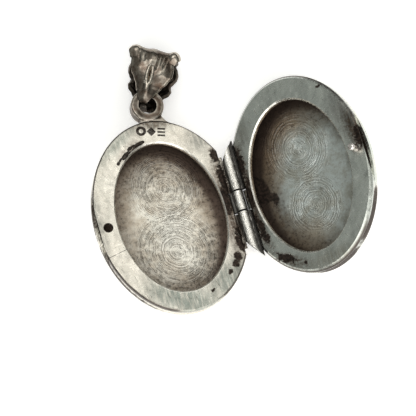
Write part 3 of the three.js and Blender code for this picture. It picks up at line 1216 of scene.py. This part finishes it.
@dataclass
class Bail:
    """Folded leaf bail: a fluted strap behind and a scalloped leaf in front."""

    strap_finish: CastFinish
    leaf_finish: CastFinish
    lean: float = 28.0
    twist: float = -9.0
    hook: float = 0.5
    sheet: float = 0.5
    crown: float = 0.75
    strap_left: Outline = (
        (-0.6, 0.4), (0.35, 0.5), (0.6, 0.75), (0.9, 0.95), (1.45, 1.2), (2.1, 1.42), (2.7, 1.6), (3.6, 2.1),
        (4.5, 2.7), (5.3, 3.0), (5.9, 3.05), (6.4, 3.1), (7.0, 3.5), (7.7, 3.75), (8.3, 3.6), (8.79, 2.9))
    strap_right: Outline = (
        (-0.6, 0.4), (0.35, 0.45), (0.6, 0.65), (0.9, 0.85), (1.45, 1.2), (2.1, 1.6), (2.7, 2.0), (3.6, 2.7),
        (4.5, 3.2), (5.3, 3.25), (5.9, 3.1), (6.4, 3.0), (7.0, 3.35), (7.7, 3.85), (8.3, 3.7), (8.79, 2.9))
    leaf_half: Outline = (
        (-0.6, 0.4), (0.2, 0.5), (0.5, 1.1), (1.1, 1.5), (1.9, 1.6), (2.6, 1.85), (3.4, 2.3), (4.2, 3.0),
        (4.9, 3.2), (5.5, 3.0), (5.9, 2.95), (6.4, 3.3), (7.1, 3.65), (7.8, 3.75), (8.5, 3.5), (9.6, 2.9))
    strap_side: Outline = (
        (0.16, 0.04), (0.3, 0.85), (0.7, 1.44), (1.45, 1.78), (2.7, 2.0), (4.5, 2.45), (6.45, 2.7), (7.8, 2.36),
        (8.6, 1.35), (8.79, 0.06))
    leaf_side: Outline = (
        (0.16, -0.04), (0.05, -0.8), (0.0, -1.35), (0.4, -1.85), (1.2, -2.2), (2.7, -2.55), (4.6, -2.9), (6.52, -2.8),
        (7.9, -2.18), (8.6, -1.08), (8.79, -0.06))

    flutes: tuple[tuple[float, float, float], ...] = (
        (-1.9, 5.6, 0.16), (-1.2, 6.0, 0.14), (0.75, 4.9, 0.28), (1.2, 5.6, 0.18), (1.75, 5.1, 0.28))
    strap_swells: tuple[tuple[float, ...], ...] = (
        (3.1, 8.05, 1.0, 0.95, 0.85), (2.3, 7.5, 0.25, 0.8, -0.1), (3.2, 6.75, 0.6, 0.22, -0.2),
        (1.9, 4.9, 0.8, 1.2, 0.22))
    slit: tuple[float, float] = (4.25, 1.5)
    leaf_swells: tuple[float, ...] = (4.0, 6.9)

    def place(self) -> Matrix:
        """Gives the bail's place: hook at its origin, Y up its length, Z to its back."""
        on_rim = Matrix.Translation(LOOP) @ Matrix.Rotation(TILT, 4, "Y")
        leaned = Matrix.Rotation(-math.radians(self.lean), 4, "Z") @ Matrix.Translation((-self.hook * MM, 0, 0))
        return on_rim @ leaned @ Matrix.Rotation(math.radians(self.twist), 4, "Y") @ Matrix.Scale(MM, 4)

    @staticmethod
    def along(points: Outline, t: float) -> Vector:
        """Gives a point of a smooth path through points.

        Args:
            points: the path's points.
            t: 0 at its start, 1 at its end.

        Returns:
            The point, as a 2D vector.
        """
        last = len(points) - 1
        place = min(max(t, 0.0), 1.0) * last
        index = min(int(place), last - 1)
        s = place - index
        a, b, c, d = (Vector(points[min(max(index + k, 0), last)]) for k in (-1, 0, 1, 2))
        return 0.5 * (2 * b + (c - a) * s + (2 * a - 5 * b + 4 * c - d) * s * s + (3 * b - a - 3 * c + d) * s ** 3)

    @staticmethod
    def width(points: Outline, q: float) -> float:
        """Gives the half width of an outline at a height.

        Args:
            points: heights and half widths.
            q: the height.

        Returns:
            The half width.
        """
        for (low, a), (high, b) in zip(points, points[1:]):
            if q <= high:
                s = max((q - low) / (high - low), 0.0)
                s = s * s * (3 - 2 * s) * 0.6 + s * 0.4
                return a + (b - a) * s
        return points[-1][1]

    def sheet_piece(self, name: str, side: Outline, left: Outline, right: Outline, out: int,
                    relief: Callable[[float, float, float], float]) -> Thing:
        """Bends a grid to one side of the bail and raises its relief.

        Args:
            name: name of the piece.
            side: path of the middle of the sheet, height and depth.
            left: half widths by height on the left.
            right: half widths by height on the right.
            out: 1 where outside is +Z, -1 where it is -Z.
            relief: height of the surface by (across, height, half width).

        Returns:
            The solid piece in its own millimetres.
        """
        bm = bmesh.new()
        across, up = 150, 210
        bmesh.ops.create_grid(bm, x_segments=across, y_segments=up, size=0.5)
        for vert in bm.verts:
            u, t = vert.co.x * 2, vert.co.y + 0.5
            here, ahead = self.along(side, t), self.along(side, t + 0.004)
            behind = self.along(side, t - 0.004)
            step = ahead - behind
            normal = Vector((-step.y, step.x)).normalized()
            if normal.y * out < 0 and abs(normal.y) > 0.2 or normal.x < 0 and abs(normal.y) <= 0.2:
                normal = -normal
            sag = 1.3 * min(max(-here.y - 0.95, 0.0), 0.6)
            wide = self.width(left if u < 0 else right, here.x + sag)
            lift = relief(u, here.x, wide)
            crown = 0.06 - self.crown * abs(u) ** 2.3
            rise = (lift + crown) * min(max((here.x + sag - 0.35) / 1.6, 0.0), 1.0)
            vert.co = Vector((u * wide, here.x + normal.x * rise, here.y + normal.y * rise))
        bmesh.ops.recalc_face_normals(bm, faces=bm.faces)
        made = shape_object(bm, name)
        change(made, "SOLIDIFY", thickness=self.sheet, offset=0.0)
        round_edges(made, 0.14, 3, 50.0)
        mark_relief(made, 220, 0.42)
        return made

    def strap_relief(self, u: float, q: float, wide: float) -> float:
        """Gives the strap's relief: flutes, rolled lobes, ridge and slit.

        Args:
            u: place across, from -1 to 1.
            q: height.
            wide: half width there.

        Returns:
            The height of its surface.
        """
        x = u * wide
        fan = x / (1.0 + 0.07 * (q - 6.0))
        lift = 0.0
        for place, low, depth in self.flutes:
            deep = depth * ramp(q, low, low + 0.9) * ramp(-q, -7.7, -6.8)
            lift += deep * (0.25 * swell((fan - place - 0.3) / 0.16) - swell((fan - place) / 0.15))
        for hand in (-1, 1):
            lift += 0.05 * swell((u - hand * 0.95) / 0.05) * ramp(q, 2.0, 2.8)
            for across, up, half_x, half_q, height in self.strap_swells:
                half_x -= 0.15 * hand * (height > 0.5)
                lift += height * swell((x - hand * across) / half_x, (q - up) / half_q)
        lift += 0.3 * ramp(-q, -3.6, -2.8) * swell(x / 0.36)
        lift += 0.16 * swell((x + 0.2) / 0.55) * ramp(q, 5.6, 6.4)
        s = (q - self.slit[0]) / self.slit[1]
        if abs(s) < 1:
            away = (abs(x) - 0.24 * (1 - s * s) ** 0.8) / 0.13
            lift += 0.13 * swell(away - 1.1) * min((1 - abs(s)) * 5, 1.0)
            lift -= 0.6 / (1 + math.exp(min(away * 4.0 + 0.6, 30.0))) * min((1 - abs(s)) * 6, 1.0)
        return lift

    def leaf_relief(self, u: float, q: float, wide: float) -> float:
        """Gives the leaf's relief: middle vein, side veins and a lip along the scallops.

        Args:
            u: place across, from -1 to 1.
            q: height.
            wide: half width there.

        Returns:
            The height of its surface.
        """
        x = u * wide
        veins = math.cos((q - abs(x) * 0.8) * 3.1) * 0.5 + 0.5
        lift = 0.2 * swell(x / 0.28) - 0.16 * veins ** 5 * min(abs(x) / 0.5, 1.0) * max(1 - abs(u) ** 4, 0.0)
        for hand in (-1, 1):
            lift += 0.12 * swell((u - hand * 0.9) / 0.07)
            for up in self.leaf_swells:
                lift += 0.16 * swell((x - hand * 2.3) / 0.7, (q - up) / 0.8)
        return lift

    def build(self) -> None:
        """Builds both sides of the bail."""
        for name, side, left, right, out, relief, finish in (
            ("bail_strap", self.strap_side, self.strap_left, self.strap_right, 1, self.strap_relief,
             self.strap_finish),
            ("bail_leaf", self.leaf_side, self.leaf_half, self.leaf_half, -1, self.leaf_relief,
             self.leaf_finish),
        ):
            made = self.sheet_piece(f"{name}_skin", side, left, right, out, relief)
            finish_piece(made, self.place(), Body.BAIL, [name], [finish.material()], 60.0)


# ---------------------------------------------------------------- studio


@dataclass
class Studio:
    """Pale floor, soft lights and the camera."""

    camera_at: tuple[float, float, float] = (0.03615, -0.11842, 0.3804)
    camera_turn: tuple[float, float, float] = (14.214, 10.492, -15.722)
    lens: float = 231.43
    floor_size: float = 3.0
    floor_glow: float = 0.42
    sky_band: tuple[float, ...] = (0.15, 0.58, 0.05, 0.37)
    lamps: list[tuple[str, tuple[float, float, float], float, float, Colour]] = field(default_factory=lambda: [
        ("softbox right", (0.55, 0.30, 0.75), 0.75, 0.9, (1.0, 0.975, 0.93)),
        ("softbox front", (0.10, -0.85, 0.75), 1.7, 11.0, (1.0, 0.98, 0.95)),
        ("softbox top", (0.08, 0.29, 0.98), 0.5, 1.3, (1.0, 0.98, 0.95)),
    ])

    def build(self) -> None:
        """Sets up the floor, the world, the lamps and the camera."""
        self.floor()
        world = bpy.data.worlds.new("room")
        bpy.context.scene.world = world
        world.use_nodes = True
        self.sky(world.node_tree)
        for name, at, size, power, colour in self.lamps:
            light = bpy.data.lights.new(name, "AREA")
            light.shape = "DISK"
            light.size = size
            light.energy = power
            light.color = colour
            lamp = bpy.data.objects.new(name, light)
            lamp.location = at
            lamp.rotation_euler = (-Vector(at)).to_track_quat("-Z", "Y").to_euler()
            bpy.context.scene.collection.objects.link(lamp)
        data = bpy.data.cameras.new("camera")
        data.sensor_width = 36.0
        data.lens = self.lens
        data.clip_start = 0.01
        data.clip_end = 10.0
        camera = bpy.data.objects.new("camera", data)
        camera.location = self.camera_at
        camera.rotation_euler = Euler([math.radians(a) for a in self.camera_turn], "XYZ")
        bpy.context.scene.collection.objects.link(camera)
        bpy.context.scene.camera = camera
        bpy.context.scene.view_settings.view_transform = "Standard"

    def sky(self, tree: bpy.types.NodeTree) -> None:
        """Makes the room: even grey above, dark low down.

        Args:
            tree: the world's nodes.
        """
        back = tree.nodes["Background"]
        where = tree.nodes.new("ShaderNodeTexCoord")
        split = tree.nodes.new("ShaderNodeSeparateXYZ")
        tree.links.new(where.outputs["Generated"], split.inputs[0])
        band = tree.nodes.new("ShaderNodeMapRange")
        band.interpolation_type = "SMOOTHSTEP"
        tree.links.new(split.outputs["Z"], band.inputs["Value"])
        for key, number in zip(("From Min", "From Max", "To Min", "To Max"), self.sky_band):
            band.inputs[key].default_value = number
        back.inputs["Color"].default_value = (0.90, 0.93, 0.88, 1)
        tree.links.new(band.outputs[0], back.inputs["Strength"])

    def floor(self) -> None:
        """Lays the pale floor under the locket."""
        bm = bmesh.new()
        bmesh.ops.create_grid(bm, x_segments=1, y_segments=1, size=self.floor_size / 2)
        floor = shape_object(bm, "floor")
        floor.location.z = CAD_BOX[0].z - 0.0001
        n = Nodes("pale floor")
        for key, value in (("Base Color", (0.95, 0.95, 0.95, 1)), ("Roughness", 0.9), ("Specular IOR Level", 0.1),
                           ("Emission Color", (1, 1, 1, 1)), ("Emission Strength", self.floor_glow)):
            n.feed(n.shader.inputs[key], value)
        floor.data.materials.append(n.material)


# ---------------------------------------------------------------- finishes of this locket

# both halves are one silver: the base's warm, light tones are a painted lit copy, and the cover's cool grey, darker
# tones a painted shaded copy for the grey room it reflects
WARM_LIT_SILVER: Colour = (0.90, 0.86, 0.77)
WARM_SHADE: Colour = (0.80, 0.75, 0.66)
COOL_SHADED_SILVER: Colour = (0.66, 0.69, 0.64)
COOL_SHADE: Colour = (0.58, 0.61, 0.57)

BASE_RIM = RimFinish(
    "base rim silver", Side.BASE, WARM_LIT_SILVER, WARM_SHADE, 0.24,
    stains=(Stain((-1.5, 3.4), (0.9, 4.6)), Stain((-2.0, 0.4), (1.0, 3.6)),
            Stain((-1.6, -6.0), (0.9, 3.2)), Stain((-2.6, -8.3), (0.8, 1.0)),
            Stain((-1.8, 7.6), (1.0, 1.6)), Stain((-7.66, -12.6), (0.42, 0.36), 0.0, 0.5),
            Stain((-4.3, -10.5), (0.5, 0.4), 0.0, 0.5), Stain((-3.1, -9.4), (0.8, 0.8)),
            Stain((-13.3, 10.8), (2.5, 0.7), 36.0, 0.7),
            Stain((-6.4, 14.1), (1.3, 0.4), -20.0)),
    browns=(Stain((-9.6, 14.6), (4.0, 1.5), 0.0, 0.9), Stain((-14.2, 10.9), (3.0, 1.0), 40.0, 0.9),
            Stain((-1.8, 0.0), (1.6, 11.0), 0.0, 0.9)),
    tints_and_light=(TintAndLightPatch((-12.2, -12.6), (7.0, 3.0), -27.0, 0.7, (0.34, 0.37, 0.33), 1.0),
           TintAndLightPatch((-5.0, -11.2), (4.0, 2.4), 42.0, 0.7, (0.36, 0.38, 0.34), 1.0),
           TintAndLightPatch((-2.1, -1.0), (2.0, 9.5), 0.0, 0.7, (0.40, 0.36, 0.31), 0.8),
           TintAndLightPatch((-1.7, -0.8), (1.8, 8.8), 0.0, 0.8, (0.15, 0.13, 0.12), 0.9),
           TintAndLightPatch((-9.2, 14.6), (4.4, 1.3), 0.0, 0.9, (0.20, 0.14, 0.10), 0.9),
           TintAndLightPatch((-18.8, 3.0), (3.0, 9.0), 8.0, 0.9, (0.82, 0.79, 0.70), 0.7),
           TintAndLightPatch((-15.6, 12.4), (5.5, 1.2), 38.0, 0.9, (0.40, 0.42, 0.37), 0.9),
           TintAndLightPatch((-10.0, 14.6), (6.5, 1.5), 0.0, 0.9),
           TintAndLightPatch((-3.0, -10.5), (2.2, 2.6), 0.0, 0.9), TintAndLightPatch((-3.4, 10.6), (2.2, 2.4), 0.0, 0.9),
           TintAndLightPatch((-21.4, 2.0), (0.9, 8.0), 0.0, 0.9)),
    marks=(Stain((-10.1, 13.2), (3.2, 1.6), -14.5, 0.2), Stain((-19.95, -4.2), (2.2, 0.3), 14.5, 0.2),
           Stain((-14.0, 10.6), (3.6, 1.6), 35.0, 0.2)),
    lit_edges=(Stain((-9.0, -15.2), (5.0, 2.0), 0.0, 0.4),),
)
COVER_RIM = RimFinish(
    "cover rim silver", Side.COVER, COOL_SHADED_SILVER, COOL_SHADE, 0.22,
    stains=(Stain((1.8, 5.6), (0.9, 3.4)), Stain((1.7, 0.4), (1.1, 3.8)),
            Stain((2.2, -5.8), (0.9, 4.0), 12.0), Stain((4.6, -11.0), (3.0, 0.9), -35.0),
            Stain((21.2, 1.6), (1.2, 2.6)), Stain((17.4, 11.1), (0.5, 0.35), 0.0, 0.5),
            Stain((7.5, -12.8), (0.4, 0.35), 0.0, 0.5), Stain((19.9, -10.3), (0.5, 1.6), -20.0, 0.6)),
    browns=(Stain((1.8, 0.0), (1.6, 10.5), 0.0, 0.9), Stain((20.6, 3.2), (1.6, 4.6), 0.0, 0.9),
            Stain((6.0, -12.4), (3.5, 1.4), -25.0, 0.9)),
    tints_and_light=(TintAndLightPatch((3.0, 9.0), (2.0, 3.4), -20.0, 0.9, (0.34, 0.33, 0.29), 0.7),
           TintAndLightPatch((1.9, -1.0), (1.7, 8.6), 0.0, 0.8, (0.12, 0.105, 0.095), 0.85),
           TintAndLightPatch((12.0, -13.6), (5.5, 1.6), 0.0, 0.9, (0.36, 0.34, 0.28), 0.7),
           TintAndLightPatch((20.0, 5.5), (2.2, 5.5), 12.0, 0.9, (0.30, 0.29, 0.27), 0.8),
           TintAndLightPatch((21.3, 3.0), (1.5, 4.4), 8.0, 0.8, (0.04, 0.034, 0.03), 0.95)),
    lit_edges=(Stain((22.5, -3.0), (5.5, 13.0), 0.0, 0.3),),
)
BASE_RECESS = RecessFinish(
    "base recess silver", Side.BASE, (1.0, 0.97, 0.87), (0.80, 0.72, 0.60), (0.13, 0.09, 0.06), 0.33,
    rings=((-9.55, 5.1, 6.0), (-10.35, -4.8, 7.2)),
    # a painted pool of light in the middle; the brown patches are painted shade towards the walls
    tints_and_light=(TintAndLightPatch((-10.1, -2.6), (3.4, 5.4), 0.0, 0.9, (1.0, 0.98, 0.90), 0.75),
           TintAndLightPatch((-4.4, 1.0), (1.8, 7.5), 6.0, 0.9, (0.38, 0.31, 0.23), 0.5),
           TintAndLightPatch((-16.4, 2.0), (1.8, 6.5), 0.0, 0.9, (0.46, 0.36, 0.26), 0.5)),
    open_side=(-0.7, -0.7), lean=-0.2, grain=1.3, ring_depth=0.5, edge_from=0.46,
)
COVER_RECESS = RecessFinish(
    "cover recess silver", Side.COVER, (0.82, 0.89, 0.87), (0.52, 0.53, 0.47), (0.13, 0.088, 0.055), 0.34,
    rings=((9.88, 4.77, 6.0), (10.0, -4.35, 5.0)),
    stains=(Stain((2.3, 0.9), (2.0, 3.6), 10.0, 0.7), Stain((3.9, -0.9), (1.3, 1.7), 20.0, 0.7)),
    # the brown patches are painted shade towards the walls
    tints_and_light=(TintAndLightPatch((4.6, 4.4), (2.8, 6.6), -12.0, 0.9, (0.66, 0.53, 0.39), 0.8),
           TintAndLightPatch((9.2, 8.6), (5.0, 2.4), 0.0, 0.9, (0.62, 0.50, 0.36), 0.8),
           TintAndLightPatch((7.4, -8.6), (5.4, 3.4), -24.0, 0.9, (0.62, 0.53, 0.41), 0.75)),
    open_side=(0.2, -0.5), lean=1.0, grain=0.9, ring_depth=0.3, edge_from=0.52,
)
BASE_OUTER = OuterFinish("base outer silver", Side.BASE, WARM_LIT_SILVER, WARM_SHADE, 0.2,
                         painted_shade_bands=(Stain((-19.5, -7.5, -1.7), (2.2, 9.5, 0.9), 32.0, 0.7),
                                Stain((-21.8, 3.0, -1.7), (2.0, 6.0, 0.9), -6.0, 0.7)))
COVER_OUTER = OuterFinish("cover outer silver", Side.COVER, (0.88, 0.85, 0.78), COOL_SHADED_SILVER, 0.18,
                          painted_shade_bands=(Stain((18.9, -9.9, -1.5), (2.2, 5.6, 1.2), -33.0, 0.5),
                                 Stain((12.5, -14.9, -1.4), (7.0, 1.8, 1.2), 8.0, 0.6)))
STRAP = CastFinish("strap silver", (0.50, 0.455, 0.39), (0.115, 0.095, 0.077), (0.02, 0.016, 0.013), 0.17)
# the leaf is the same cast silver painted far darker: painted shade for the side of the bail that lies in shadow
SHADED_LEAF = CastFinish("leaf silver", (0.13, 0.11, 0.09), (0.035, 0.03, 0.026), (0.012, 0.01, 0.009), 0.3,
                  (0.05, 0.034, 0.026))
LOOP_SILVER = CastFinish("loop silver", (0.42, 0.38, 0.33), (0.06, 0.047, 0.036), (0.025, 0.018, 0.013), 0.2)
PEG_SILVER = CastFinish("peg silver", (0.96, 0.92, 0.88), (0.85, 0.78, 0.74), (0.4, 0.3, 0.27), 0.16, plain=True)


def main() -> None:
    """Builds the locket's pieces in order."""
    logging.basicConfig(level=logging.INFO, format="%(name)s: %(message)s")
    Studio().build()
    BaseHalf(Side.BASE, Body.BASE, Slot.WORN, "base_shell", "base_rim_plate", BASE_RIM, BASE_RECESS,
             BASE_OUTER, 0.74).build()
    CaseHalf(Side.COVER, Body.COVER, Slot.GREY, "cover_shell", "cover_rim_plate", COVER_RIM, COVER_RECESS,
             COVER_OUTER, 0.43, lip=0.42, lip_steps=1).build()
    Hinge(HingeFinish("hinge silver", (0.97, 0.95, 0.90), 0.2)).build()
    CatchStud(PEG_SILVER).build()
    HangingLoop(LOOP_SILVER).build()
    Bail(STRAP, SHADED_LEAF).build()


if __name__ == "__main__":
    main()
